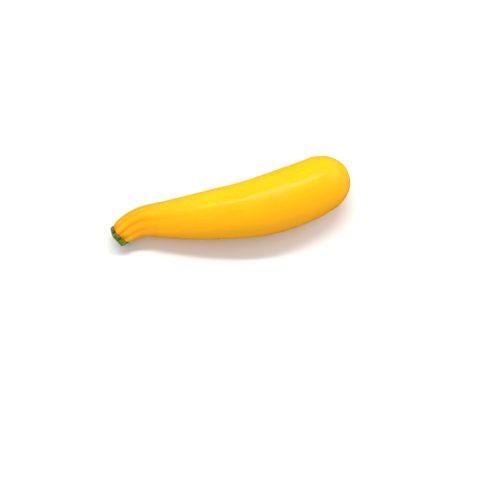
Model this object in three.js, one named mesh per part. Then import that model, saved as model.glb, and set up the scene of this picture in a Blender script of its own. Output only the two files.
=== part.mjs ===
// A yellow zucchini as picked, lying on its side on a flat surface, with the short slice of green
// stalk that stayed on its neck. Millimetres, +Z up, the fruit along X with its stem end at low X.
// Both pieces start as lathed bodies round a straight axis, X from the neck to the blossom end, and
// are then ribbed and bent along the fruit's real centreline.
import * as THREE from "three";
import { mergeVertices } from "three/addons/utils/BufferGeometryUtils.js";

// The fruit's outline. Each list is evenly spaced from the neck to the blossom end.
const FRUIT_LENGTH = 192.5;
const BODY_RADII = [10.3, 13.6, 17.2, 20.4, 22.9, 24.9, 25.3, 24, 21];
const SWAY = [16, 8, 2.5, 0, 5, 17.5]; // how far the centreline wanders sideways
const HOOK_REACH = 28; // the length of neck that turns towards the stalk
const HOOK_SHIFT = 10.8; // how far that turn carries the cut end sideways
const NECK_LEAN = Math.tan(THREE.MathUtils.degToRad(11)); // the neck's end leans out at the top
const LEAN_REACH = 8;
const ARCH_REACH = 60; // the neck arches a little off the ground over this length
const ARCH_HEIGHT = 0.8;
const GROUND_PRESS = 0.35; // how deep the underside is flattened where it lies

// The rounded blossom end, a superellipse, with a shallow dimple where the flower dropped off.
const END_LENGTH = 23.5;
const END_ROUNDNESS = 2.2;
const DIMPLE_DEPTH = 0.9;
const DIMPLE_RADIUS = 6;

// Five soft ridges run the whole length, and ten narrower ribs fade out along the neck.
const RIDGES = 5;
const RIBS = 10;
const TOP_RIDGE = THREE.MathUtils.degToRad(86); // where one ridge lies, 90 degrees being the top
const RIDGE_ON_BODY = 0.009; // shares of the radius
const RIDGE_ON_NECK = 0.022;
const RIDGE_FADE = 45; // millimetres
const RIB_ON_NECK = 0.03;
const RIB_FADE = 17;
const COLLAR_PINCH = 0.8; // the groove between fruit and stalk
const COLLAR_FADE = 2.2;

// The slice of stalk.
const STEM_LENGTH = 4.5;
const STEM_GAP = 0.3;
const STEM_RADIUS = 9.6;
const STEM_TAPER = 0.5; // how much thinner it is at the cut
const STEM_RIM = 0.5; // the worn edge round the cut
const STEM_RIDGE = 0.045;
const STEM_RIB = 0.04;
const CUT_SKEW = Math.tan(THREE.MathUtils.degToRad(7)); // the knife went through at a slant

const AROUND = 60; // facets round the axis, a whole number for each rib
const NECK_STEPS = 10;
const BODY_STEPS = 17;
const END_STEPS = 11;
const SKIN = { color: 0xf6b90f, roughness: 0.38, metalness: 0 };
const STALK = { color: 0x6e8c28, roughness: 0.6, metalness: 0 };

// A smooth curve through evenly spaced values, read from 0 to 1.
function smoothThrough(values) {
  const points = values.map((value, i) => new THREE.Vector3(i, value, 0));
  const curve = new THREE.CatmullRomCurve3(points, false, "catmullrom");
  return (share) => curve.getPoint(share).y;
}

const bodyRadius = smoothThrough(BODY_RADII);
const sway = smoothThrough(SWAY);

// What ridges and ribs of these shares multiply the radius by, at an angle round the axis.
function ridging(angle, ridge, rib) {
  const turn = angle - TOP_RIDGE;
  return 1 + ridge * Math.cos(RIDGES * turn) + rib * Math.cos(RIBS * turn);
}

function fruitRidging(angle, x) {
  const ridge = RIDGE_ON_BODY + RIDGE_ON_NECK * Math.exp(-x / RIDGE_FADE);
  return ridging(angle, ridge, RIB_ON_NECK * Math.exp(-x / RIB_FADE));
}

// A point of the centreline. Its height keeps the underside on the ground, apart from the arch.
function centre(x) {
  const share = THREE.MathUtils.clamp(x / FRUIT_LENGTH, 0, 1);
  const hook = HOOK_SHIFT * Math.max(0, 1 - x / HOOK_REACH) ** 2;
  const under = bodyRadius(share) * fruitRidging(-Math.PI / 2, x);
  const along = THREE.MathUtils.clamp(x / ARCH_REACH, 0, 1);
  const arch = ARCH_HEIGHT * 6.75 * along * (1 - along) ** 2; // 6.75 makes the peak 1
  return new THREE.Vector3(x, sway(share) - hook, under - GROUND_PRESS + arch);
}

// The place of a point that is out from the straight axis at x, once the axis is bent. Past the
// neck's cut the axis runs straight on.
function bent(x, out, angle) {
  const held = THREE.MathUtils.clamp(x, 0, FRUIT_LENGTH);
  const along = centre(held + 0.5).sub(centre(Math.max(held - 0.5, 0))).normalize();
  const side = new THREE.Vector3(0, 0, 1).cross(along).normalize();
  const up = along.clone().cross(side);
  const place = centre(held).addScaledVector(along, x - held);
  place.addScaledVector(side, out * Math.cos(angle)).addScaledVector(up, out * Math.sin(angle));
  place.z = Math.max(place.z, 0);
  return place;
}

// Lathes a profile of (radius, x) points and moves each vertex to shape(x, radius, angle).
function lathed(profile, shape) {
  const geometry = new THREE.LatheGeometry(profile, AROUND, TOP_RIDGE);
  geometry.deleteAttribute("normal");
  geometry.deleteAttribute("uv");
  const places = geometry.getAttribute("position");
  for (let i = 0; i < places.count; i++) {
    const angle = Math.atan2(places.getX(i), places.getZ(i));
    const radius = Math.hypot(places.getX(i), places.getZ(i));
    const place = shape(places.getY(i), radius, angle);
    places.setXYZ(i, place.x, place.y, place.z);
  }
  const closed = mergeVertices(geometry, 1e-3);
  closed.computeVertexNormals();
  return closed;
}

// Steps along the neck, the body and the closing end, where equal turns keep the facets even.
function fruitProfile() {
  const neckEnd = HOOK_REACH;
  const endStart = FRUIT_LENGTH - END_LENGTH;
  const points = [new THREE.Vector2(0, 0)];
  const add = (radius, x) => points.push(new THREE.Vector2(radius, x));
  const radiusAt = (x) =>
    bodyRadius(x / FRUIT_LENGTH) - COLLAR_PINCH * Math.exp(-((x / COLLAR_FADE) ** 2));
  for (let i = 0; i < NECK_STEPS; i++) {
    const x = neckEnd * (i / NECK_STEPS) ** 1.5;
    add(radiusAt(x), x);
  }
  for (let i = 0; i < BODY_STEPS; i++) {
    const x = neckEnd + ((endStart - neckEnd) * i) / BODY_STEPS;
    add(radiusAt(x), x);
  }
  for (let i = 0; i <= END_STEPS; i++) {
    const turn = (Math.PI / 2) * (i / END_STEPS);
    const x = endStart + END_LENGTH * Math.sin(turn) ** (2 / END_ROUNDNESS);
    const closing = i < END_STEPS ? Math.cos(turn) ** (2 / END_ROUNDNESS) : 0;
    const radius = radiusAt(x) * closing;
    add(radius, x - DIMPLE_DEPTH * Math.exp(-((radius / DIMPLE_RADIUS) ** 2)));
  }
  return points;
}

function stemProfile() {
  const cutRadius = STEM_RADIUS - STEM_TAPER;
  return [
    new THREE.Vector2(0, -STEM_LENGTH),
    new THREE.Vector2(cutRadius - STEM_RIM, -STEM_LENGTH),
    new THREE.Vector2(cutRadius, -STEM_LENGTH + STEM_RIM),
    new THREE.Vector2(STEM_RADIUS - STEM_TAPER / 2, -STEM_LENGTH / 2),
    new THREE.Vector2(STEM_RADIUS, -2 * STEM_GAP),
    new THREE.Vector2(STEM_RADIUS - STEM_GAP, -STEM_GAP),
    new THREE.Vector2(0, -STEM_GAP),
  ];
}

function makeFruit() {
  const geometry = lathed(fruitProfile(), (x, radius, angle) => {
    const out = radius * fruitRidging(angle, x);
    const lean = NECK_LEAN * out * Math.sin(angle) * Math.exp(-x / LEAN_REACH);
    return bent(x - lean, out, angle);
  });
  const mesh = new THREE.Mesh(geometry, new THREE.MeshStandardMaterial(SKIN));
  mesh.name = "fruit";
  return mesh;
}

function makeStem() {
  const geometry = lathed(stemProfile(), (x, radius, angle) => {
    const out = radius * ridging(angle, STEM_RIDGE, STEM_RIB);
    const towardsCut = (x + STEM_GAP) / (STEM_GAP - STEM_LENGTH);
    const slant = towardsCut * CUT_SKEW * Math.cos(angle) - NECK_LEAN * Math.sin(angle);
    return bent(x + slant * out, out, angle);
  });
  const mesh = new THREE.Mesh(geometry, new THREE.MeshStandardMaterial(STALK));
  mesh.name = "stem";
  return mesh;
}

// The origin is under the middle of the whole zucchini, on the ground.
const zucchini = new THREE.Group();
zucchini.add(makeFruit(), makeStem());
const middle = new THREE.Box3().setFromObject(zucchini, true).getCenter(new THREE.Vector3());
zucchini.children.forEach((piece) => piece.position.set(-middle.x, -middle.y, 0));

export default zucchini;
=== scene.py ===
# %% [markdown]
# # A yellow zucchini
#
# A zucchini is picked young, so its skin is still thin, waxy and a little see-through. The fruit grew
# as one piece from a ribbed neck to a blunt end, and a slice of its green stalk came away with it. This
# lesson builds both in a frame that was measured first, so every size below is a real one,
# in metres, with Z up and the ground at height zero.

# %% Load the measured frame
import math

import bpy
import numpy as np
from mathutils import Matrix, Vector, noise


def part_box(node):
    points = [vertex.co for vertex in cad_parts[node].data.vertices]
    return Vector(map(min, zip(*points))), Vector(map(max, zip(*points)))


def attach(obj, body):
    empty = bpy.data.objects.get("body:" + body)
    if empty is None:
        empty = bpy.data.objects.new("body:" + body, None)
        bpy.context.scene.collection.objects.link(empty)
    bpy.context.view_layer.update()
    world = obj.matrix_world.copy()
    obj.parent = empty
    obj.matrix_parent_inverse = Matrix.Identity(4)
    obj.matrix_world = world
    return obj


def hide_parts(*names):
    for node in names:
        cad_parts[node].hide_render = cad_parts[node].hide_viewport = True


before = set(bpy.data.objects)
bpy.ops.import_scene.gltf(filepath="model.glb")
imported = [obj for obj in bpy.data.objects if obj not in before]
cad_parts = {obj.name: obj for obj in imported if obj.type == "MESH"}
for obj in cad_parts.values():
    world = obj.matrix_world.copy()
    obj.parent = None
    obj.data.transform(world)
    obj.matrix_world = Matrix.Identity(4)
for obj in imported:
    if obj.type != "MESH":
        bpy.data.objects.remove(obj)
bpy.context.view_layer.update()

MM = 0.001

# %% [markdown]
# ## The camera
#
# The zucchini is looked down on steeply, from a little to the left of square on. A long lens keeps its
# thickness even from end to end. The camera is placed from the point that it aims at: two turns give
# the direction, and a distance along it gives the place.

# %% Camera
CAMERA_AZIMUTH = math.radians(-12)
CAMERA_ELEVATION = math.radians(72)
CAMERA_DISTANCE = 970 * MM
LENS = 85
SENSOR = 36
AIM_HEIGHT = 20 * MM
AIM_RIGHT = 15.08 * MM  # the fruit sits left of the middle of the view
AIM_DOWN = 33.43 * MM  # and above it

back = Vector((
    math.sin(CAMERA_AZIMUTH) * math.cos(CAMERA_ELEVATION),
    -math.cos(CAMERA_AZIMUTH) * math.cos(CAMERA_ELEVATION),
    math.sin(CAMERA_ELEVATION),
))
right = Vector((math.cos(CAMERA_AZIMUTH), math.sin(CAMERA_AZIMUTH), 0))
up = back.cross(right)
aim = Vector((0, 0, AIM_HEIGHT)) + right * AIM_RIGHT - up * AIM_DOWN

camera_data = bpy.data.cameras.new("camera")
camera_data.lens = LENS
camera_data.sensor_width = SENSOR
camera_data.clip_start = 10 * MM
camera = bpy.data.objects.new("camera", camera_data)
camera.location = aim + back * CAMERA_DISTANCE
camera.rotation_euler = back.to_track_quat("Z", "Y").to_euler()
bpy.context.scene.collection.objects.link(camera)
bpy.context.scene.camera = camera
print("camera at", [round(c, 3) for c in camera.location])

# %% [markdown]
# ## The shape of the fruit
#
# A long fruit is easiest to describe straight: a radius for every distance from the neck. The radii
# below are spaced evenly, and a smooth curve runs through them. The real fruit is bent, so a second row
# of values says how far its centreline wanders sideways, and a hook turns the neck towards the stalk.
# Sculpting would give the same form, but a handful of values is easy to read, measure and change.

# %% Driving sizes of the fruit
FRUIT_LENGTH = 192.5 * MM
BODY_RADII = np.array([10.3, 13.6, 17.2, 20.4, 22.9, 24.9, 25.3, 24, 21]) * MM
SWAY = np.array([16, 8, 2.5, 0, 5, 17.5]) * MM
HOOK_REACH = 28 * MM  # the length of neck that turns towards the stalk
HOOK_SHIFT = 10.8 * MM  # how far that turn carries the neck's cut sideways
NECK_LEAN = math.tan(math.radians(11))  # the neck's cut leans out at the top
LEAN_REACH = 8 * MM  # and the lean dies away over about this length
ARCH_REACH = 60 * MM  # the neck arches a little off the ground over this length
ARCH_HEIGHT = 0.8 * MM
GROUND_PRESS = 0.35 * MM  # how deep the underside is flattened where it lies
END_LENGTH = 23.5 * MM  # the rounded blossom end, a superellipse
END_ROUNDNESS = 2.2
DIMPLE_DEPTH = 0.9 * MM  # the hollow round the scar of the flower
DIMPLE_RADIUS = 6 * MM


def smooth_through(values, share):
    """Reads a Catmull-Rom curve through evenly spaced values, at shares of its length from 0 to 1."""
    first = 2 * values[0] - values[1]
    last = 2 * values[-1] - values[-2]
    padded = np.concatenate([[first], values, [last]])
    place = np.clip(share, 0, 1) * (len(values) - 1)
    i = np.minimum(place.astype(int), len(values) - 2)
    t = place - i
    a, b, c, d = (padded[i + k] for k in range(4))
    curve = 2 * b + (c - a) * t
    curve += (2 * a - 5 * b + 4 * c - d) * t**2
    curve += (3 * b - a - 3 * c + d) * t**3
    return curve / 2


middle_radius = smooth_through(BODY_RADII, np.array(0.5))
print("radius half way along:", round(float(middle_radius) / MM, 1), "mm")

# %% [markdown]
# ## Ridges and ribs
#
# Squash flowers have five petals, and the fruit keeps that count: five soft ridges run from the stalk
# to the flower end, strongest at the neck. Between and on them ten narrow ribs, the roots of the
# stalk's own ribs, fade out along the neck. Edges could be pulled out by hand for each of them, but
# cosines of the angle round the axis keep them all smooth and evenly spaced.

# %% Ridges and ribs round the axis
RIDGES = 5
RIBS = 10
TOP_RIDGE = math.radians(86)  # where one ridge lies, 90 degrees being the top
RIDGE_ON_BODY = 0.009  # shares of the radius
RIDGE_ON_NECK = 0.022
RIDGE_FADE = 45 * MM
RIB_ON_NECK = 0.03
RIB_FADE = 17 * MM
COLLAR_PINCH = 0.8 * MM  # the groove where the fruit meets the stalk
COLLAR_FADE = 2.2 * MM


def ridging(angle, ridge, rib):
    """What ridges and ribs of these shares multiply the radius by."""
    turn = angle - TOP_RIDGE
    return 1 + ridge * np.cos(RIDGES * turn) + rib * np.cos(RIBS * turn)


def fruit_ridging(angle, x):
    ridge = RIDGE_ON_BODY + RIDGE_ON_NECK * np.exp(-x / RIDGE_FADE)
    return ridging(angle, ridge, RIB_ON_NECK * np.exp(-x / RIB_FADE))


def bare_radius(x):
    """The radius before ridges, with the groove beside the stalk."""
    pinch = COLLAR_PINCH * np.exp(-((x / COLLAR_FADE) ** 2))
    return smooth_through(BODY_RADII, x / FRUIT_LENGTH) - pinch


neck_top = bare_radius(0.0) * fruit_ridging(TOP_RIDGE, 0.0)
print("neck radius on a ridge:", round(float(neck_top) / MM, 1), "mm")

# %% [markdown]
# ## Bending it
#
# The straight form is bent by carrying every ring of it to a point of the real centreline and turning
# the ring square to the line there. A Curve modifier bends a mesh too, but here each point keeps its
# straight place for the textures. The centreline's height is worked out from the radius below it, so
# the underside lies on the ground. Where it would sink in, it is pressed flat, as a ripe fruit's is.

# %% Centreline and bending
LOOK_AHEAD = 0.5 * MM
ARCH_PEAK = 6.75  # makes the highest value of s * (1 - s)**2 equal to 1


def centre(x):
    """Points of the centreline at these distances from the neck's cut."""
    share = np.clip(x / FRUIT_LENGTH, 0, 1)
    hook = HOOK_SHIFT * np.maximum(0, 1 - x / HOOK_REACH) ** 2
    under = smooth_through(BODY_RADII, share) * fruit_ridging(-math.pi / 2, x)
    along = np.clip(x / ARCH_REACH, 0, 1)
    arch = ARCH_HEIGHT * ARCH_PEAK * along * (1 - along) ** 2
    return np.stack([x, smooth_through(SWAY, share) - hook, under - GROUND_PRESS + arch], axis=-1)


def unit(vectors):
    return vectors / np.linalg.norm(vectors, axis=-1, keepdims=True)


def bent(x, out, angle):
    """Where points that lie out from the straight axis at x come to once the axis is bent."""
    held = np.clip(x, 0, FRUIT_LENGTH)
    along = unit(centre(held + LOOK_AHEAD) - centre(np.maximum(held - LOOK_AHEAD, 0)))
    side = unit(np.cross([0, 0, 1], along))
    upward = np.cross(along, side)
    place = centre(held) + along * (x - held)[..., None]
    place += side * (out * np.cos(angle))[..., None] + upward * (out * np.sin(angle))[..., None]
    place[..., 2] = np.maximum(place[..., 2], 0)
    return place


ends = centre(np.array([0, FRUIT_LENGTH]))
print("the centreline rises", round((ends[1, 2] - ends[0, 2]) / MM, 1), "mm from neck to blossom end")

# %% [markdown]
# ## A closed skin from rings
#
# Both pieces are woven in the same way: rings of points, joined by four-sided faces and closed by a
# point at each end. A Screw modifier turns a profile into such rings as well, but only into round ones.
# Each point also remembers where it was before the bending, as an attribute named `unbent`. Textures
# read that place, so streaks follow the bend of the fruit and no seam shows. A flat map of each piece
# is laid out as well, for the time when its finish is baked.

# %% Rings of points
def ring_grid(radii, stations, around):
    """Radius, station and angle of every point of every ring."""
    angles = TOP_RIDGE + np.linspace(0, 2 * math.pi, around, endpoint=False)
    return np.broadcast_arrays(radii[:, None], stations[:, None], angles[None, :])


def straight_place(x, out, angle):
    """Where points lie before the axis is bent."""
    return np.stack([x, out * np.cos(angle), out * np.sin(angle)], axis=-1)


def shares_walked(radius, x):
    """How far along the skin each ring is, as a share of the walk from tip to tip."""
    steps = np.hypot(np.diff(radius[:, 0]), np.diff(x[:, 0]))
    walked = np.concatenate([[0], np.cumsum(steps)]) + radius[0, 0]
    return walked / (walked[-1] + radius[-1, 0])


# %% Weave rings into a mesh
def weave(name, places, unbent, masks, lengthwise):
    """Closes rings of points (rings, around, 3) into a mesh with its attributes and a map."""
    rings, around = places.shape[:2]
    points = np.concatenate([[places[0].mean(0)], places.reshape(-1, 3), [places[-1].mean(0)]])
    here = 1 + np.arange(rings * around).reshape(rings, around)
    there = np.roll(here, -1, axis=1)
    walls = np.stack([here[:-1], here[1:], there[1:], there[:-1]], axis=-1).reshape(-1, 4)
    last = len(points) - 1
    caps = [(0, int(a), int(b)) for a, b in zip(here[0], there[0])]
    caps += [(last, int(b), int(a)) for a, b in zip(here[-1], there[-1])]
    mesh = bpy.data.meshes.new(name)
    mesh.from_pydata(points.tolist(), [], walls.tolist() + caps)
    mesh.shade_smooth()

    def closed(values):
        flat = values.reshape(rings * around, -1)
        tips = values[0].reshape(around, -1).mean(0), values[-1].reshape(around, -1).mean(0)
        return np.concatenate([[tips[0]], flat, [tips[1]]]).astype(np.float32).ravel()

    mesh.attributes.new("unbent", "FLOAT_VECTOR", "POINT").data.foreach_set("vector", closed(unbent))
    for mask, values in masks.items():
        mesh.attributes.new(mask, "FLOAT", "POINT").data.foreach_set("value", closed(values))
    lay_out(mesh, walls, caps, around, lengthwise)
    piece = bpy.data.objects.new(name, mesh)
    bpy.context.scene.collection.objects.link(piece)
    print(name, "is woven from", rings, "rings of", around, "points")
    return piece


# %% Lay the mesh out flat
MAP_MARGIN = 0.01


def lay_out(mesh, walls, caps, around, lengthwise):
    """Unrolls the mesh: across the map is round the axis, up the map is along it."""
    column = (walls - 1) % around
    row = lengthwise[(walls - 1) // around]
    column[:, 2:][column[:, 2:] == 0] = around  # the last column ends where the first begins
    spots = [np.stack([column / around, row], axis=-1).reshape(-1, 2)]
    for tip, a, b in caps:
        first = tip == 0
        start = ((a if first else b) - 1) % around
        edge = lengthwise[0 if first else -1]
        middle = ((start + 0.5) / around, 0 if first else 1)
        near = (start / around, edge)
        far = ((start + 1) / around, edge)
        spots.append(np.array([middle, near, far] if first else [middle, far, near]))
    spots = MAP_MARGIN + (1 - 2 * MAP_MARGIN) * np.concatenate(spots)
    mesh.uv_layers.new(name="OFBake").data.foreach_set("uv", spots.astype(np.float32).ravel())


# %% [markdown]
# ## The fine skin of the fruit
#
# A real zucchini is never as even as a turned form. Its skin swells and sinks a little over a finger's
# width, long shallow waves run down it, and the grooves of the neck are sharper than a cosine and each
# of its own depth. A bump texture would leave the outline perfectly even, so the points themselves are
# moved. All of this only takes material away, so the fruit stays inside its measured size.

# %% Stations along the fruit
AROUND = 280
END_FACE_RINGS = 8
NECK_RINGS = 80
NECK_CROWDING = 1.6  # above 1, so the rings of the neck lie closest at the stalk
BODY_RINGS = 95
END_RINGS = 60
SCAR_RINGS = 60
SCAR_ZONE = 7.5 * MM  # the rings lie closest this near to the middle of the flower end
NECK_LIP = 0.45 * MM  # the worn edge of the neck's hidden face
LIP_SHARPNESS = 3


def fruit_stations():
    """Radius and distance of each ring, from the hidden neck face to the flower end."""
    end_start = FRUIT_LENGTH - END_LENGTH
    neck = HOOK_REACH * np.linspace(0, 1, NECK_RINGS, endpoint=False) ** NECK_CROWDING
    body = np.linspace(HOOK_REACH, end_start, BODY_RINGS, endpoint=False)
    scar_turn = math.acos((SCAR_ZONE / BODY_RADII[-1]) ** (END_ROUNDNESS / 2))
    outer = np.linspace(0, scar_turn, END_RINGS, endpoint=False)
    inner = np.linspace(scar_turn, math.pi / 2, SCAR_RINGS, endpoint=False)
    turn = np.concatenate([outer, inner])
    closing = np.concatenate([np.ones(NECK_RINGS + BODY_RINGS), np.cos(turn) ** (2 / END_ROUNDNESS)])
    end = end_start + END_LENGTH * np.sin(turn) ** (2 / END_ROUNDNESS)
    x = np.concatenate([neck, body, end])
    radius = bare_radius(x) * closing
    radius -= NECK_LIP * np.exp(-x / NECK_LIP * LIP_SHARPNESS)
    face = radius[0] * np.linspace(0, 1, END_FACE_RINGS + 1)[1:-1]
    return np.concatenate([face, radius]), np.concatenate([np.zeros(len(face)), x])


radius, station, angle = ring_grid(*fruit_stations(), AROUND)
turn = angle - TOP_RIDGE
straight = straight_place(station, radius, angle)
print("rings:", station.shape[0], "points round each:", station.shape[1])

# %% Swellings, waves and neck grooves
SWELL = 0.35 * MM
SWELL_SIZE = 26 * MM
SWELL_STRETCH = np.array([1.6, 1, 1])  # they are longer along the fruit than across it
WAVE = 0.07 * MM
WAVE_WIDTH = 4.5 * MM
WAVE_LENGTH = 45 * MM
GROOVE = 0.5 * MM
GROOVE_LEAST = 0.45  # the shallowest groove, next to the deepest
GROOVE_FADE = 32 * MM
GROOVE_SHARPNESS = 3
FLAT = 0.32 * MM  # what is missing between the five ridges
FLAT_SHARPNESS = 0.6
TIP_RADIUS = 8 * MM  # nearer to the axis than this, all of it fades out


def noise_at(points, size, start=0.0):
    """Smooth noise from 0 to 1, with lumps of this size. Another start gives other lumps."""
    values = [0.5 + 0.5 * noise.noise(p) for p in (points / size + start).reshape(-1, 3).tolist()]
    return np.clip(values, 0, 1).reshape(points.shape[:-1])


def between(count, turn, sharpness):
    """Is 0 on each of this many ridges and 1 half way between them."""
    return (0.5 - 0.5 * np.cos(count * turn)) ** sharpness


def own_value(values, turn):
    """Gives each of the gaps between ridges its own one of these values."""
    gap = np.floor(len(values) * turn / (2 * math.pi)).astype(int)
    return values[gap % len(values)]


swell = noise_at(straight, SWELL_SIZE * SWELL_STRETCH, start=3.1)
wave = noise_at(straight, np.array([WAVE_LENGTH, WAVE_WIDTH, WAVE_WIDTH]), start=11.7)
groove_depths = np.random.default_rng(4).uniform(GROOVE_LEAST, 1.0, RIBS)
groove = between(RIBS, turn, GROOVE_SHARPNESS) * own_value(groove_depths, turn)
groove = groove * np.exp(-station / GROOVE_FADE)
flat = between(RIDGES, turn, FLAT_SHARPNESS)
full = np.clip(radius / TIP_RADIUS, 0, 1) ** 2
worn_away = full * (SWELL * swell + WAVE * wave + GROOVE * groove + FLAT * flat)
print("skin taken away:", round(float(worn_away.max()) / MM, 2), "mm at most")

# %% [markdown]
# ## The scar of the flower
#
# Where the flower dropped off, a corky disc is left in a shallow dimple: a raised, crumbled rim, a
# second ring where the petals stood, fine folds and cracks between, and a bump in the middle, the foot
# of the style. The skin round it is drawn into faint puckers and stays greener. It could be a disc of
# its own, but it grew as part of the fruit. So it is raised from the same skin, which leaves no join,
# and masks tell the material where each of these lies.

# %% Outline, rings and halo of the scar
END_FADE = 8 * MM  # over this length the end's own relief comes in
SCAR_RADIUS = 4.9 * MM
SCAR_EDGE = 0.5 * MM
SCAR_CORNERS = 0.05  # its five faint corners and its chance bumps, as shares of its radius
SCAR_WANDER = 0.2
WANDER_SIZE = 2.6 * MM
RIM_WIDTH = 0.5 * MM
PETAL_RING = 0.52  # where the petals stood, a share of the scar's radius
PETAL_WIDTH = 0.4 * MM
STYLE_RADIUS = 0.85 * MM
HALO_WIDTH = 2.2 * MM


def smooth_step(value):
    value = np.clip(value, 0, 1)
    return value * value * (3 - 2 * value)


def bell(offset, width):
    return np.exp(-((offset / width) ** 2))


at_end = smooth_step((station - (FRUIT_LENGTH - END_LENGTH)) / END_FADE)
uneven = noise_at(straight, WANDER_SIZE) - 0.5
edge = SCAR_RADIUS * (1 + SCAR_CORNERS * np.cos(RIDGES * turn) + SCAR_WANDER * uneven)
scar = at_end * smooth_step((edge - radius) / SCAR_EDGE + 0.5)
rim = bell(radius - edge + RIM_WIDTH, RIM_WIDTH)
petal_ring = bell(radius - PETAL_RING * edge, PETAL_WIDTH)
style = bell(radius, STYLE_RADIUS)
halo = at_end * (1 - scar) * bell(np.maximum(radius - edge, 0), HALO_WIDTH)
print("scar across:", round(2 * SCAR_RADIUS / MM, 1), "mm")

# %% Relief of the scar
RIM_RISE = 0.42 * MM
PETAL_RISE = 0.2 * MM
STYLE_RISE = 0.5 * MM
STYLE_FOOT = 1.6 * MM  # folds and cracks begin outside the foot of the style
CRUMB_SIZE = 0.55 * MM
CRUMB_RISE = 0.22 * MM
FOLDS = 34
FOLD_RISE = 0.07 * MM
FOLD_WANDER = 5
CRACKS = 7
CRACK_DEPTH = 0.3 * MM
CRACK_WANDER = 6
CRACK_SHARPNESS = 14
PUCKERS = 20
PUCKER_RADIUS = 1.35 * SCAR_RADIUS
PUCKER_WIDTH = 1.6 * MM
PUCKER_RISE = 0.05 * MM

crumbs = noise_at(straight, CRUMB_SIZE)
outside_style = smooth_step(radius / STYLE_FOOT)
folds = np.cos(FOLDS * turn + FOLD_WANDER * uneven) * outside_style
crack = np.clip(np.cos(CRACKS * turn + CRACK_WANDER * uneven + 2 * crumbs), 0, 1)
crack = crack**CRACK_SHARPNESS * outside_style
rise = CRUMB_RISE * crumbs + FOLD_RISE * folds + PETAL_RISE * petal_ring + STYLE_RISE * style
rise += RIM_RISE * rim * (0.4 + 0.8 * crumbs) - CRACK_DEPTH * crack * (1 - rim)
pucker = np.cos(PUCKERS * turn) * bell(radius - PUCKER_RADIUS, PUCKER_WIDTH)
rise = scar * rise + at_end * (1 - scar) * pucker * PUCKER_RISE
print("scar rises", round(float(rise.max()) / MM, 2), "mm")

# %% Weave the fruit
CREASE_REACH = 3.5 * MM  # how far the brown of the stalk's furrows runs into the neck: partly browning, partly painted shade
CREASE_SHARPNESS = 3
PAINTED_LIGHT_SIDE = math.radians(38)  # the side painted lemon yellow as if lit; away from it a deeper gold is painted as shade
STYLE_STAIN = 0.8  # how dark the foot of the style is, next to the rim

dimple = DIMPLE_DEPTH * bell(radius, DIMPLE_RADIUS) * at_end
out = radius * fruit_ridging(angle, station) - worn_away
lean = NECK_LEAN * out * np.sin(angle) * np.exp(-station / LEAN_REACH)
reach = station - lean - dimple + rise
places = bent(reach, out, angle)

lowest = places.reshape(-1, 3).min(0)
highest = places.reshape(-1, 3).max(0)
cad_low, cad_high = (np.array(corner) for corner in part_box("fruit"))
shift = (cad_low + cad_high - lowest - highest) / 2  # brings it to the middle of its place
shift[2] = 0

masks = {
    "groove": groove,
    "crease": between(RIDGES, turn, CREASE_SHARPNESS) * np.exp(-station / CREASE_REACH),
    # painted light and shade: 1 on the side towards the light, 0 on the side painted as shade
    "painted_lit_side": 0.5 + 0.5 * np.cos(angle - PAINTED_LIGHT_SIDE),
    "scar": scar,
    "rim": np.maximum(rim, STYLE_STAIN * style),
    "crack": crack * scar,
    "halo": halo,
}
unbent = straight_place(reach, out, angle)
fruit = weave("zucchini_fruit", places + shift, unbent, masks, shares_walked(radius, station))
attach(fruit, "root")
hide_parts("fruit")
print("fruit faces:", len(fruit.data.polygons), "moved by", [round(s / MM, 2) for s in shift], "mm")

# %% [markdown]
# ## The slice of stalk
#
# The stalk of a squash is tough, five-sided and deeply ribbed. The knife left only a slice of it, a
# little thicker on one side, and its ribs run on into the ribs of the neck. A cylinder could be carved
# into it, but woven like the fruit it gets the same ribs at the same angles. Its rings go out across
# the cut, over the rim, along the side, and in again behind, where the fruit hides them.

# %% Sizes and stations of the stalk
STEM_LENGTH = 4.5 * MM
STEM_RADIUS = 9.6 * MM
STEM_TAPER = 0.5 * MM  # how much thinner it is at the cut
STEM_RIM = 0.8 * MM  # the worn edge round the cut
STEM_GAP = 0.3 * MM  # where the stalk of the frame begins, short of the neck
STEM_RIDGE = 0.045  # shares of the radius
STEM_RIB = 0.04
CUT_RADIUS = STEM_RADIUS - STEM_TAPER
CUT_SKEW = math.tan(math.radians(7))  # the knife went through at a slant
STEM_AROUND = 300
CUT_RINGS = 70
RIM_RINGS = 8
SIDE_RINGS = 50
ROOT = 0.5 * MM  # how far the stalk reaches into the fruit, so that no gap shows
ROOT_RADIUS = 0.93 * STEM_RADIUS
CLOSING = np.array([0.8, 0.5, 0.2])  # the last rings behind, as shares of the root's radius


def stem_stations():
    """Radius and distance of each ring, from the middle of the cut to behind the neck's face."""
    cut = np.linspace(0, CUT_RADIUS - STEM_RIM, CUT_RINGS + 1)[1:]
    bend = np.linspace(0, math.pi / 2, RIM_RINGS + 1)[1:]
    rim = cut[-1] + STEM_RIM * np.sin(bend)
    rim_x = -STEM_LENGTH + STEM_RIM * (1 - np.cos(bend))
    side_x = np.linspace(rim_x[-1], ROOT, SIDE_RINGS + 1)[1:]
    side = np.interp(side_x, [-STEM_LENGTH, -2 * STEM_GAP, ROOT], [CUT_RADIUS, STEM_RADIUS, ROOT_RADIUS])
    radii = np.concatenate([cut, rim, side, side[-1] * CLOSING])
    cut_x = np.full(len(cut), -STEM_LENGTH)
    return radii, np.concatenate([cut_x, rim_x, side_x, np.full(len(CLOSING), ROOT)])


stem_radius, stem_x, stem_angle = ring_grid(*stem_stations(), STEM_AROUND)
stem_turn = stem_angle - TOP_RIDGE
stem_straight = straight_place(stem_x, stem_radius, stem_angle)
print("stalk rings:", stem_x.shape[0])

# %% [markdown]
# ## What the knife left
#
# From the outside in, the cut shows a thin tough rind, a ring of ten sap strands, one under each rib,
# and a soft middle that shrinks first as it dries, so it sinks and tears into a small star. The knife
# leaves faint parallel steps. Along the side run fibres, and furrows part the five lobes. Paint alone
# would look flat from close by, so each of these is raised or sunk in the mesh itself.

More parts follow.
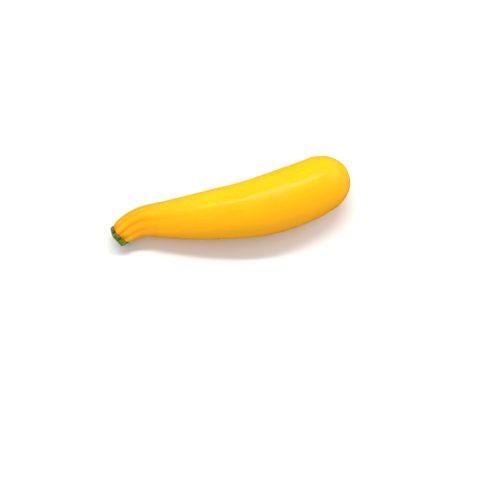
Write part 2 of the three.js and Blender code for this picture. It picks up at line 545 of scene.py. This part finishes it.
# %% Relief of the cut
CUT_BACK = 0.42 * MM  # what the knife took off, so that nothing stands proud of the frame
PITH_SINK = 0.55 * MM
PITH_EDGE = 0.46  # where the soft middle ends, a share of the cut's radius
PITH_FADE = 0.3
STAR_DEPTH = 0.35 * MM
STAR_EDGE = 0.42
STAR_FADE = 0.12
STAR_SHARPNESS = 10
TEAR_WANDER = 0.5
TEAR_SIZE = 2.2 * MM
STRANDS = 10
STRAND_PLACE = 0.68 * CUT_RADIUS
STRAND_SIZE = 0.75 * MM
STRAND_RISE = 0.3 * MM
RING_WIDTH = 0.6 * MM
RIND_EDGE = 0.86
RIND_FADE = 0.06
RIND_RISE = 0.26 * MM
PULP_SIZE = 1.1 * MM
PULP_DEPTH = 0.12 * MM
KNIFE_STEP = 0.06 * MM
KNIFE_PITCH = 1.3 * MM

share = stem_radius / CUT_RADIUS
on_cut = smooth_step((-STEM_LENGTH + STEM_RIM - stem_x) / STEM_RIM)
pulp = noise_at(stem_straight, PULP_SIZE, start=7.3)

strand_angle = (STRANDS * stem_turn / (2 * math.pi) + 0.5) % 1 - 0.5
strand_across = strand_angle * 2 * math.pi / STRANDS * stem_radius
strand = bell(np.hypot(strand_across, stem_radius - STRAND_PLACE), STRAND_SIZE)
ring = bell(stem_radius - STRAND_PLACE, RING_WIDTH)
rind = smooth_step((share - RIND_EDGE) / RIND_FADE)

torn = stem_turn + TEAR_WANDER * (noise_at(stem_straight, TEAR_SIZE, start=3.9) - 0.5)
star = np.clip(np.cos(RIDGES * torn), 0, 1) ** STAR_SHARPNESS
star = star * smooth_step((STAR_EDGE - share) / STAR_FADE)
sink = PITH_SINK * smooth_step((PITH_EDGE - share) / PITH_FADE) * (0.7 + 0.6 * pulp)
sink += STAR_DEPTH * star
knife = np.sin(2 * math.pi * stem_straight[..., 1] / KNIFE_PITCH + 2 * pulp)
lift = STRAND_RISE * strand + RIND_RISE * rind * (0.4 + pulp) + KNIFE_STEP * knife
lift -= sink + PULP_DEPTH * pulp + CUT_BACK
print("cut face sinks", round(float(sink.max()) / MM, 2), "mm in the middle")

# %% Relief of the side
FIBRE = 0.16 * MM
FIBRE_WIDTH = 0.55 * MM
FIBRE_LENGTH = 7 * MM
STEM_WEAR = 0.2 * MM
WEAR_SIZE = 5 * MM
WEAR_ON_CUT = 0.4  # the knife's face is cleaner than the side
WEAR_RADIUS = 6 * MM
FURROW = 1.3 * MM  # between the five lobes
FURROW_DEPTHS = np.array([1.0, 0.5, 0.7, 0.4, 0.75])  # shares of it, one for each furrow
FURROW_SHARPNESS = 5
FURROW_START = 0.8 * STEM_RADIUS
FURROW_FADE = 0.15 * STEM_RADIUS

fibre = noise_at(stem_straight, np.array([FIBRE_LENGTH, FIBRE_WIDTH, FIBRE_WIDTH]), start=5.2)
wear = noise_at(stem_straight, WEAR_SIZE, start=21.5)
fade = np.clip(stem_radius / WEAR_RADIUS, 0, 1) * (1 - (1 - WEAR_ON_CUT) * on_cut)
furrow = between(RIDGES, stem_turn, FURROW_SHARPNESS) * own_value(FURROW_DEPTHS, stem_turn)
stem_out = stem_radius * ridging(stem_angle, STEM_RIDGE, STEM_RIB)
stem_out -= fade * (FIBRE * fibre + STEM_WEAR * wear)
stem_out -= FURROW * furrow * smooth_step((stem_radius - FURROW_START) / FURROW_FADE)
print("deepest furrow:", round(float(furrow.max()) * FURROW / MM, 2), "mm")

# %% Weave the stalk
towards_cut = np.clip((stem_x + STEM_GAP) / (STEM_GAP - STEM_LENGTH), 0, 1)
slant = towards_cut * CUT_SKEW * np.cos(stem_angle) - NECK_LEAN * np.sin(stem_angle)
stem_reach = stem_x + slant * stem_out - on_cut * lift
stem_places = bent(stem_reach, stem_out, stem_angle)
stem_unbent = straight_place(stem_x, stem_out, stem_angle)
stem_masks = {
    "cut": on_cut,
    "strand": strand * on_cut,
    "ring": ring * on_cut,
    "star": star * on_cut,
    "rind": rind,
    "rib_tip": 0.5 + 0.25 * np.cos(RIDGES * stem_turn) + 0.25 * np.cos(RIBS * stem_turn),
    "share": share,
    "furrow": furrow,
}
stem_walk = shares_walked(stem_radius, stem_x)
stem = weave("stalk_slice", stem_places + shift, stem_unbent, stem_masks, stem_walk)
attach(stem, "root")
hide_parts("stem")
print("stalk faces:", len(stem.data.polygons))

# %% [markdown]
# ## Tools for building materials
#
# A material is a small machine of nodes. These helpers place a node, feed its sockets with a value or
# with another node's output, and leave the recipes below short enough to read.

# %% Node helpers
def place_node(tree, kind, **settings):
    node = tree.nodes.new(kind)
    for name, value in settings.items():
        setattr(node, name, value)
    return node


def feed(tree, socket, value):
    if isinstance(value, bpy.types.NodeSocket):
        tree.links.new(value, socket)
    else:
        socket.default_value = value


def calc(tree, operation, first, second=0.0):
    node = place_node(tree, "ShaderNodeMath", operation=operation)
    feed(tree, node.inputs[0], first)
    feed(tree, node.inputs[1], second)
    return node.outputs[0]


def span(tree, value, low, high, to_low=0.0, to_high=1.0):
    """Stretches value so that low to high becomes to_low to to_high, held at both ends."""
    node = place_node(tree, "ShaderNodeMapRange", interpolation_type="SMOOTHSTEP")
    for i, number in enumerate((value, low, high, to_low, to_high)):
        feed(tree, node.inputs[i], number)
    return node.outputs[0]


def attribute(tree, name, output="Fac"):
    return place_node(tree, "ShaderNodeAttribute", attribute_name=name).outputs[output]


def far_along(tree):
    """How far along the straight axis a point is, in metres from the neck's cut."""
    parts = place_node(tree, "ShaderNodeSeparateXYZ")
    feed(tree, parts.inputs[0], attribute(tree, "unbent", "Vector"))
    return parts.outputs[0]


# %% Colour helpers
def color(red, green, blue):
    """A colour given as a screen shows it, from 0 to 255, in the linear values that shaders use."""
    shown = [c / 255 for c in (red, green, blue)]
    return tuple(c / 12.92 if c <= 0.04045 else ((c + 0.055) / 1.055) ** 2.4 for c in shown) + (1.0,)


def blend_colors(tree, amount, first, second):
    node = place_node(tree, "ShaderNodeMix", data_type="RGBA")
    feed(tree, node.inputs["Factor"], amount)
    feed(tree, node.inputs[6], first)
    feed(tree, node.inputs[7], second)
    return node.outputs[2]


def stain(tree, base, paint, mask, strength=1.0):
    """Lays a paint over the base where the mask says, and as strongly as is given."""
    if strength < 1:
        mask = calc(tree, "MULTIPLY", mask, strength)
    return blend_colors(tree, mask, base, paint)


print("a screen's half grey, in linear values:", round(color(128, 128, 128)[0], 3))

# %% [markdown]
# ## Effects that several finishes share
#
# Skin, stalk and cut all have fibres along them, cloudy patches of colour, and small scattered dots,
# each at its own scale. So these three effects are node groups with named inputs and outputs. Each
# reads the unbent place of a point, in metres, and a size in millimetres.

# %% Helpers for shared effects
NOISE_REACH = 0.22  # noise keeps mostly within this of its middle value


def new_group(name, sizes, output):
    """Starts a node group that takes a place and these sizes, and gives one value."""
    tree = bpy.data.node_groups.new(name, "ShaderNodeTree")
    tree.interface.new_socket("Place", in_out="INPUT", socket_type="NodeSocketVector")
    for size, usual in sizes.items():
        made = tree.interface.new_socket(size, in_out="INPUT", socket_type="NodeSocketFloat")
        made.default_value = usual
    tree.interface.new_socket(output, in_out="OUTPUT", socket_type="NodeSocketFloat")
    return tree, tree.nodes.new("NodeGroupInput").outputs, tree.nodes.new("NodeGroupOutput").inputs


def per_size(tree, vector, size):
    """Divides a place in metres by a size in millimetres."""
    node = place_node(tree, "ShaderNodeVectorMath", operation="SCALE")
    feed(tree, node.inputs[0], vector)
    feed(tree, node.inputs["Scale"], calc(tree, "DIVIDE", 1 / MM, size))
    return node.outputs[0]


def clear_noise(tree, place, detail, contrast):
    """Noise with lumps one unit long, stretched round its middle to run from 0 to 1."""
    clouds = place_node(tree, "ShaderNodeTexNoise")
    feed(tree, clouds.inputs["Vector"], place)
    clouds.inputs["Scale"].default_value = 1
    clouds.inputs["Detail"].default_value = detail
    half = calc(tree, "DIVIDE", NOISE_REACH, contrast)
    low = calc(tree, "SUBTRACT", 0.5, half)
    high = calc(tree, "ADD", 0.5, half)
    return span(tree, clouds.outputs[0], low, high)


# %% Three shared effects
def make_fibres():
    """Long streaks along the fruit: Streaks goes from 0 to 1."""
    tree, given, result = new_group("Fibres", {"Width": 1.0, "Stretch": 12.0, "Contrast": 1.0}, "Streaks")
    parts = place_node(tree, "ShaderNodeSeparateXYZ")
    feed(tree, parts.inputs[0], per_size(tree, given["Place"], given["Width"]))
    joined = place_node(tree, "ShaderNodeCombineXYZ")
    feed(tree, joined.inputs[0], calc(tree, "DIVIDE", parts.outputs[0], given["Stretch"]))
    feed(tree, joined.inputs[1], parts.outputs[1])
    feed(tree, joined.inputs[2], parts.outputs[2])
    feed(tree, result["Streaks"], clear_noise(tree, joined.outputs[0], 3, given["Contrast"]))
    return tree


def make_clouds():
    """Soft patches of uneven size: Patches goes from 0 to 1."""
    tree, given, result = new_group("Clouds", {"Size": 10.0, "Contrast": 1.0}, "Patches")
    place = per_size(tree, given["Place"], given["Size"])
    feed(tree, result["Patches"], clear_noise(tree, place, 4, given["Contrast"]))
    return tree


def make_dots():
    """Small round dots, scattered: Dots is 1 on a dot. Share is how many of the places hold one."""
    tree, given, result = new_group("Dots", {"Spacing": 2.0, "Radius": 0.25, "Share": 0.5}, "Dots")
    cells = place_node(tree, "ShaderNodeTexVoronoi")
    feed(tree, cells.inputs["Vector"], per_size(tree, given["Place"], given["Spacing"]))
    cells.inputs["Scale"].default_value = 1
    parts = place_node(tree, "ShaderNodeSeparateColor")
    feed(tree, parts.inputs[0], cells.outputs["Color"])
    uneven_size = span(tree, parts.outputs[1], 0, 1, to_low=0.5, to_high=1.2)
    size = calc(tree, "MULTIPLY", given["Radius"], uneven_size)
    dot = span(tree, cells.outputs["Distance"], 0, size, to_low=1, to_high=0)
    kept = calc(tree, "LESS_THAN", parts.outputs[0], given["Share"])
    feed(tree, result["Dots"], calc(tree, "MULTIPLY", dot, kept))
    return tree


FIBRES = make_fibres()
CLOUDS = make_clouds()
DOTS = make_dots()


def effect(tree, group, **values):
    """Places a shared effect that reads the unbent place, and returns its output."""
    node = place_node(tree, "ShaderNodeGroup", node_tree=group)
    feed(tree, node.inputs["Place"], attribute(tree, "unbent", "Vector"))
    for name, value in values.items():
        feed(tree, node.inputs[name], value)
    return node.outputs[0]


print("shared effects:", [group.name for group in (FIBRES, CLOUDS, DOTS)])

# %% [markdown]
# ## Bringing colour, gloss and relief together
#
# Every finish here ends in one Principled shader. What differs over the surface is linked to it, and
# what is the same all over is typed into its own sockets. Small relief goes through Bump nodes, each
# with the real height of its relief in metres.

# %% Finish helpers
def new_material(name):
    material = bpy.data.materials.new(name)
    material.use_nodes = True
    material.node_tree.nodes.clear()
    return material, material.node_tree


def finish_surface(tree, base, roughness, reliefs, constants):
    """Links colour, roughness and a chain of (height, metres) reliefs to a Principled shader."""
    shader = place_node(tree, "ShaderNodeBsdfPrincipled")
    feed(tree, shader.inputs["Base Color"], base)
    feed(tree, shader.inputs["Roughness"], roughness)
    normal = None
    for height, metres in reliefs:
        bump = place_node(tree, "ShaderNodeBump")
        bump.inputs["Distance"].default_value = metres
        feed(tree, bump.inputs["Height"], height)
        if normal:
            feed(tree, bump.inputs["Normal"], normal)
        normal = bump.outputs[0]
    feed(tree, shader.inputs["Normal"], normal)
    for name, value in constants.items():
        shader.inputs[name].default_value = value
    output = place_node(tree, "ShaderNodeOutputMaterial")
    feed(tree, output.inputs["Surface"], shader.outputs[0])


# %% [markdown]
# ## The skin
#
# The golden skin is a thin waxy layer over pale, wet flesh, so a little light goes in and comes out
# warm: subsurface scattering with a long red reach does that. Over the gold lie paler streaks along the
# fruit, cloudy lemon patches, tiny pale breathing pores, orange in the grooves of the neck, brown next to
# the stalk that is partly painted shade, a breath of green at both ends and a few light scuffs. The side
# away from the light is painted a deeper gold as shade. The wax gives a broad satin gloss, duller on the
# scuffs, and the cork of the scar has none. A painted picture would need a seam somewhere, so all of it
# is made from noise and masks, which fit round the fruit without one.

# %% Where the marks of the skin lie
NECK_WARMTH_REACH = 75 * MM
NECK_TINGE_REACH = 9 * MM
NECK_TINGE = 0.5
END_TINGE_REACH = 16 * MM
END_TINGE = 0.45


def skin_marks(tree):
    from_neck = far_along(tree)
    near_neck = span(tree, from_neck, 0, NECK_TINGE_REACH, to_low=NECK_TINGE, to_high=0)
    near_end = span(tree, from_neck, FRUIT_LENGTH - END_TINGE_REACH, FRUIT_LENGTH, to_high=END_TINGE)
    patches = effect(tree, CLOUDS, Size=6.0, Contrast=1.0)
    scratches = effect(tree, FIBRES, Width=0.5, Stretch=9.0, Contrast=1.6)
    scuffed = span(tree, effect(tree, CLOUDS, Size=16.0, Contrast=1.0), 0.8, 1.0, to_high=0.6)
    crumbs = effect(tree, CLOUDS, Size=0.8, Contrast=1.2)
    ragged = span(tree, crumbs, 0, 1, to_low=-0.25, to_high=0.25)
    stained = calc(tree, "MAXIMUM", attribute(tree, "rim"), attribute(tree, "crack"))
    broken = span(tree, effect(tree, CLOUDS, Size=1.3, Contrast=1.0), 0, 1, to_low=0.55, to_high=1.1)
    green_ring = span(tree, patches, 0, 1, to_low=0.5, to_high=0.9)
    return {
        # painted shade: deeper gold on the side away from the light
        "shade": span(tree, attribute(tree, "painted_lit_side"), 0.05, 0.95, to_low=1, to_high=0),
        "neck": span(tree, from_neck, 4 * MM, NECK_WARMTH_REACH, to_low=0.75, to_high=0),
        "pores": effect(tree, DOTS, Spacing=1.7, Radius=0.16, Share=0.55),
        "green": calc(tree, "MULTIPLY", calc(tree, "ADD", near_neck, near_end), patches),
        "crease": span(tree, attribute(tree, "crease"), 0.1, 0.9, to_high=0.75),
        "groove": span(tree, attribute(tree, "groove"), 0.05, 0.9, to_high=0.6),
        "scuffs": calc(tree, "MULTIPLY", span(tree, scratches, 0.7, 1.0), scuffed),
        "crumbs": crumbs,
        "stains": span(tree, calc(tree, "MULTIPLY", stained, broken), 0.1, 0.7, to_high=0.9),
        "scar": span(tree, calc(tree, "ADD", attribute(tree, "scar"), ragged), 0.3, 0.7),
        "halo": calc(tree, "MULTIPLY", attribute(tree, "halo"), green_ring),
    }


# %% Skin colours
GOLD = color(253, 186, 0)
LEMON = color(254, 196, 0)
# painted shade: the deeper gold of the side away from the light
PAINTED_SHADE_GOLD = color(250, 172, 0)
NECK_GOLD = color(251, 166, 0)
AMBER = color(248, 164, 0)
PALE = color(255, 208, 40)
GREEN_TINGE = color(196, 184, 30)
GROOVE_ORANGE = color(228, 126, 6)
# partly browning, partly painted shade of the crevice where the neck meets the stalk
CREASE_BROWN_AND_SHADE = color(166, 92, 8)
SCUFF = color(250, 220, 130)
HALO_GREEN = color(176, 178, 16)
CORK = color(158, 132, 78)
CORK_DARK = color(58, 40, 16)
CORK_PALE = color(196, 182, 138)


def skin_color(tree, marks):
    streaks = effect(tree, FIBRES, Width=2.2, Stretch=26.0, Contrast=0.8)
    fine = effect(tree, FIBRES, Width=0.7, Stretch=40.0, Contrast=1.0)
    base = blend_colors(tree, effect(tree, CLOUDS, Size=34.0, Contrast=0.8), GOLD, LEMON)
    # painted shade over the side away from the light
    base = stain(tree, base, PAINTED_SHADE_GOLD, marks["shade"])
    base = stain(tree, base, NECK_GOLD, marks["neck"])
    base = stain(tree, base, AMBER, streaks, strength=0.3)
    base = stain(tree, base, PALE, fine, strength=0.1)
    base = stain(tree, base, PALE, marks["pores"], strength=0.45)
    base = stain(tree, base, GREEN_TINGE, marks["green"])
    base = stain(tree, base, GROOVE_ORANGE, marks["groove"])
    # partly browning and partly painted shade, between the ridges next to the stalk
    base = stain(tree, base, CREASE_BROWN_AND_SHADE, marks["crease"])
    base = stain(tree, base, SCUFF, marks["scuffs"], strength=0.17)
    base = stain(tree, base, HALO_GREEN, marks["halo"])
    cork = blend_colors(tree, marks["crumbs"], CORK, CORK_PALE)
    cork = stain(tree, cork, CORK_DARK, marks["stains"])
    return stain(tree, base, cork, marks["scar"])


# %% Skin material
SKIN_ROUGHNESS = 0.31
ROUGHNESS_SPREAD = 0.05
SCUFF_ROUGHNESS = 0.15  # what a scuff adds
SCAR_ROUGHNESS = 0.9
STREAK_RELIEF = 0.035 * MM
PEEL_RELIEF = 0.012 * MM
PORE_RELIEF = 0.015 * MM
CORK_RELIEF = 0.15 * MM


def skin_roughness(tree, marks, bare):
    low = SKIN_ROUGHNESS - ROUGHNESS_SPREAD
    high = SKIN_ROUGHNESS + ROUGHNESS_SPREAD
    wax = span(tree, effect(tree, CLOUDS, Size=9.0, Contrast=0.8), 0, 1, to_low=low, to_high=high)
    wax = calc(tree, "ADD", wax, calc(tree, "MULTIPLY", marks["scuffs"], SCUFF_ROUGHNESS))
    cork = calc(tree, "MULTIPLY", marks["scar"], SCAR_ROUGHNESS)
    return calc(tree, "ADD", calc(tree, "MULTIPLY", wax, bare), cork)


def make_skin():
    material, tree = new_material("zucchini_skin")
    marks = skin_marks(tree)
    bare = calc(tree, "SUBTRACT", 1.0, marks["scar"])
    peel = effect(tree, CLOUDS, Size=1.1, Contrast=0.8)
    reliefs = [
        (effect(tree, FIBRES, Width=1.6, Stretch=20.0, Contrast=0.8), STREAK_RELIEF),
        (calc(tree, "MULTIPLY", peel, bare), PEEL_RELIEF),
        (marks["pores"], PORE_RELIEF),
        (calc(tree, "MULTIPLY", marks["crumbs"], marks["scar"]), CORK_RELIEF),
    ]
    constants = {
        "Subsurface Weight": 0.22,
        "Subsurface Radius": (1.0, 0.42, 0.06),
        "Subsurface Scale": 5 * MM,
        "IOR": 1.45,
        "Specular IOR Level": 0.25,
    }
    finish_surface(tree, skin_color(tree, marks), skin_roughness(tree, marks, bare), reliefs, constants)
    return material


fruit.data.materials.append(make_skin())
print("skin nodes:", len(fruit.data.materials[0].node_tree.nodes))

# %% [markdown]
# ## The stalk and its cut
#
# The side of the stalk is green and fibrous: lighter along the rib tips, olive towards the fruit, brown
# and nearly black at its foot by the neck, partly a bruise, partly painted shade of the crevice there.
# The cut is a wet pale green with a darker rind and drying strands. One material holds both, because one
# turns into the other over the rim of the cut.

# %% Colour of the stalk's side
STALK_GREEN = color(96, 124, 8)
STALK_FRESH = color(146, 160, 24)
STALK_DARK = color(40, 66, 4)
STALK_OLIVE = color(150, 132, 4)
# dark brown to nearly black: partly a bruise, partly painted shade of the crevice against the neck
BRUISE_AND_SHADE = color(38, 24, 10)
BRUISE_EDGE_AND_SHADE = color(120, 74, 22)
OLIVE_FROM, OLIVE_TO = -2.4 * MM, 0.2 * MM  # places along the stalk, the neck's cut being 0
# where the brown at the stalk's foot lies: partly browning, partly painted shade against the neck
BROWN_FROM, BROWN_TO = -0.9 * MM, -0.1 * MM
RIM_FROM, RIM_TO = 1.1 * MM - STEM_LENGTH, 0.2 * MM - STEM_LENGTH


def prickle_stubs(tree):
    return effect(tree, DOTS, Spacing=1.3, Radius=0.2, Share=0.5)


def side_color(tree, bruise_and_shade):
    along = far_along(tree)
    fibres = effect(tree, FIBRES, Width=0.8, Stretch=8.0, Contrast=1.2)
    base = blend_colors(tree, fibres, STALK_GREEN, STALK_FRESH)
    base = stain(tree, base, STALK_DARK, effect(tree, CLOUDS, Size=3.2, Contrast=1.2), strength=0.6)
    base = stain(tree, base, STALK_FRESH, span(tree, attribute(tree, "rib_tip"), 0.6, 1.0, to_high=0.35))
    base = stain(tree, base, STALK_OLIVE, span(tree, along, OLIVE_FROM, OLIVE_TO, to_high=0.85))
    # brown at the foot of the stalk: partly browning, partly painted shade where it meets the neck
    base = stain(tree, base, BRUISE_EDGE_AND_SHADE, span(tree, along, BROWN_FROM, BROWN_TO, to_high=0.8))
    base = stain(tree, base, STALK_DARK, span(tree, attribute(tree, "furrow"), 0.2, 1.0, to_high=0.7))
    base = stain(tree, base, STALK_DARK, span(tree, along, RIM_FROM, RIM_TO, to_high=0.9))
    base = stain(tree, base, STALK_FRESH, prickle_stubs(tree))
    # a dark brown spot beside the neck: partly a bruise, partly painted shade of the crevice
    base = stain(tree, base, BRUISE_EDGE_AND_SHADE, span(tree, bruise_and_shade, 0.15, 0.6))
    return stain(tree, base, BRUISE_AND_SHADE, span(tree, bruise_and_shade, 0.45, 0.9))


# %% Colour of the cut
CUT_PALE = color(214, 220, 160)
CUT_FLESH = color(184, 200, 124)
CUT_GREEN = color(140, 170, 74)
CUT_RIND = color(66, 104, 22)
STRAND_GREEN = color(96, 136, 48)
STRAND_BUFF = color(232, 222, 166)
DRIED = color(150, 118, 62)


def cut_color(tree):
    strand = attribute(tree, "strand")
    sap = effect(tree, DOTS, Spacing=0.55, Radius=0.3, Share=0.4)
    dry = span(tree, effect(tree, CLOUDS, Size=3.5, Contrast=1.0), 0.7, 1.0, to_high=0.3)
    base = blend_colors(tree, effect(tree, CLOUDS, Size=1.8, Contrast=1.0), CUT_PALE, CUT_FLESH)
    base = stain(tree, base, CUT_GREEN, span(tree, attribute(tree, "share"), 0.62, 0.95, to_high=0.7))
    base = stain(tree, base, CUT_GREEN, attribute(tree, "ring"), strength=0.4)
    base = stain(tree, base, STRAND_GREEN, span(tree, strand, 0.08, 0.45, to_high=0.9))
    base = stain(tree, base, STRAND_BUFF, span(tree, strand, 0.5, 0.9))
    base = stain(tree, base, STRAND_GREEN, sap, strength=0.25)
    base = stain(tree, base, DRIED, dry)
    base = stain(tree, base, DRIED, span(tree, attribute(tree, "star"), 0.1, 0.8, to_high=0.7))
    return stain(tree, base, CUT_RIND, attribute(tree, "rind"))


# %% Stalk material
# the dark spot beside the neck: partly a bruise, partly painted shade of the crevice
BRUISE_AND_SHADE_AT = (-1.0 * MM, 2.8 * MM, 9.3 * MM)
BRUISE_AND_SHADE_SIZE = 3.1 * MM
BRUISE_AND_SHADE_CORE = 0.4 * BRUISE_AND_SHADE_SIZE
WET_ROUGHNESS = 0.3
DRY_ROUGHNESS = 0.2  # what the dry side adds to that, and then the grain
GRAIN_ROUGHNESS = 0.15
FIBRE_RELIEF = 0.12 * MM
STUB_RELIEF = 0.10 * MM
GRAIN_RELIEF = 0.08 * MM


def bruise_and_shade_mask(tree):
    offset = place_node(tree, "ShaderNodeVectorMath", operation="DISTANCE")
    feed(tree, offset.inputs[0], attribute(tree, "unbent", "Vector"))
    offset.inputs[1].default_value = BRUISE_AND_SHADE_AT
    spot = span(tree, offset.outputs["Value"], BRUISE_AND_SHADE_CORE, BRUISE_AND_SHADE_SIZE, to_low=1, to_high=0)
    broken = span(tree, effect(tree, CLOUDS, Size=1.3, Contrast=1.0), 0, 1, to_low=0.5, to_high=1.1)
    return calc(tree, "MULTIPLY", spot, broken)


def make_stalk():
    material, tree = new_material("zucchini_stalk")
    on_cut_face = attribute(tree, "cut")
    side_only = calc(tree, "SUBTRACT", 1.0, on_cut_face)
    base = blend_colors(tree, on_cut_face, side_color(tree, bruise_and_shade_mask(tree)), cut_color(tree))
    grain = effect(tree, CLOUDS, Size=0.5, Contrast=1.0)
    fibres = effect(tree, FIBRES, Width=0.35, Stretch=10.0, Contrast=1.0)
    rough = calc(tree, "ADD", calc(tree, "MULTIPLY", side_only, DRY_ROUGHNESS), WET_ROUGHNESS)
    rough = calc(tree, "ADD", rough, calc(tree, "MULTIPLY", grain, GRAIN_ROUGHNESS))
    reliefs = [
        (calc(tree, "MULTIPLY", fibres, side_only), FIBRE_RELIEF),
        (calc(tree, "MULTIPLY", prickle_stubs(tree), side_only), STUB_RELIEF),
        (calc(tree, "MULTIPLY", grain, on_cut_face), GRAIN_RELIEF),
    ]
    constants = {
        "Subsurface Weight": 0.12,
        "Subsurface Radius": (0.5, 1.0, 0.25),
        "Subsurface Scale": 1.5 * MM,
        "IOR": 1.42,
    }
    finish_surface(tree, base, rough, reliefs, constants)
    return material


stem.data.materials.append(make_stalk())
print("stalk nodes:", len(stem.data.materials[0].node_tree.nodes))

# %% [markdown]
# ## Floor and light
#
# A plain white floor fills the view. A long, narrow lamp hangs over the fruit, a little behind it, and
# its reflection is the satin highlight along the fruit's back. A weak second lamp and a pale sky keep
# the shadows open. Floor and sky are hidden from glossy rays. That takes some of their white veil off
# the wax, though not all of it, so the gold stays deeper.

# %% Floor
FLOOR_SIZE = 8.0
FLOOR_COLOR = (0.86, 0.86, 0.86, 1.0)

half = FLOOR_SIZE / 2
corners = [(-half, -half, 0), (half, -half, 0), (half, half, 0), (-half, half, 0)]
floor_mesh = bpy.data.meshes.new("floor")
floor_mesh.from_pydata(corners, [], [(0, 1, 2, 3)])
floor = bpy.data.objects.new("floor", floor_mesh)
bpy.context.scene.collection.objects.link(floor)
floor_material, floor_tree = new_material("floor_paint")
floor_shader = place_node(floor_tree, "ShaderNodeBsdfPrincipled")
floor_shader.inputs["Base Color"].default_value = FLOOR_COLOR
floor_shader.inputs["Roughness"].default_value = 0.9
floor_shader.inputs["Specular IOR Level"].default_value = 0.0
floor_output = place_node(floor_tree, "ShaderNodeOutputMaterial")
feed(floor_tree, floor_output.inputs["Surface"], floor_shader.outputs[0])
floor_mesh.materials.append(floor_material)
floor.visible_glossy = False
print("floor:", FLOOR_SIZE, "m square")

# %% Lamps
KEY_POWER = 9.4
KEY_SIZE = (1.05, 0.12)
KEY_AT = Vector((0.06, 0.43, 1.08))
FILL_POWER = 2.0
FILL_SIZE = (0.5, 0.5)
FILL_AT = Vector((0.95, 0.15, 0.5))


def hang_lamp(name, place, size, power):
    """A soft rectangular lamp that faces the fruit."""
    lamp = bpy.data.lights.new(name, "AREA")
    lamp.shape = "RECTANGLE"
    lamp.size, lamp.size_y = size
    lamp.energy = power
    made = bpy.data.objects.new(name, lamp)
    made.location = place
    made.rotation_euler = place.to_track_quat("Z", "Y").to_euler()
    bpy.context.scene.collection.objects.link(made)


hang_lamp("key_lamp", KEY_AT, KEY_SIZE, KEY_POWER)
hang_lamp("fill_lamp", FILL_AT, FILL_SIZE, FILL_POWER)

# %% Sky
SKY_STRENGTH = 0.75

sky = bpy.data.worlds.new("sky")
bpy.context.scene.world = sky
sky.use_nodes = True
sky_light = sky.node_tree.nodes["Background"]
sky_light.inputs["Color"].default_value = (1, 1, 1, 1)
seen = place_node(sky.node_tree, "ShaderNodeLightPath").outputs["Is Camera Ray"]
far_floor = SKY_STRENGTH * FLOOR_COLOR[0]  # where it is seen, the sky is as bright as the floor
strength = span(sky.node_tree, seen, 0, 1, to_low=SKY_STRENGTH, to_high=far_floor)
feed(sky.node_tree, sky_light.inputs["Strength"], strength)
sky.cycles_visibility.glossy = False
bpy.context.scene.view_settings.view_transform = "Standard"
print("sky strength:", SKY_STRENGTH)
